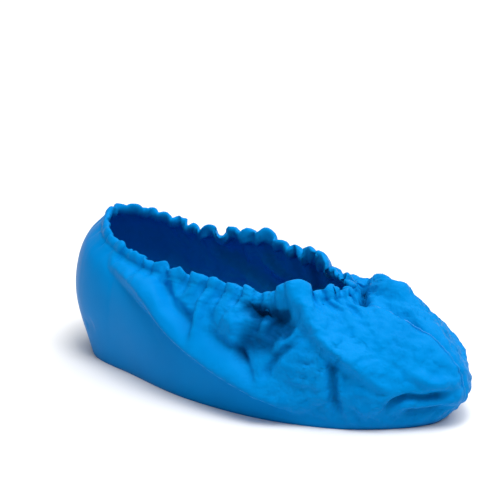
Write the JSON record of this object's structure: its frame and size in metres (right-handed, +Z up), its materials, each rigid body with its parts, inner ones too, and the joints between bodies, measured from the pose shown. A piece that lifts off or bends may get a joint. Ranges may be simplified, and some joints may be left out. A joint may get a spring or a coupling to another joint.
{
  "type": "disposable shoe cover",
  "caption": "Disposable film overshoe in its worn form: a thin open bag with a flat sole, welded heel and toe seams and an elastic hem round the foot opening.",
  "frame": {"origin": "on the floor, in the middle of the part's box", "axes": "+X towards the toe, +Y towards the inner side of the foot, +Z up"},
  "size_m": [0.3036, 0.122, 0.1034],
  "materials": {
    "film": "satin embossed film",
    "hem": "satin embossed film",
    "elastic": "matt",
    "weld": "fused film"
  },
  "bodies": {
    "root": {"film_body": "film", "hem_fold": "hem", "elastic_loop": "elastic", "toe_weld": "weld", "heel_weld": "weld"}
  },
  "joints": []
}
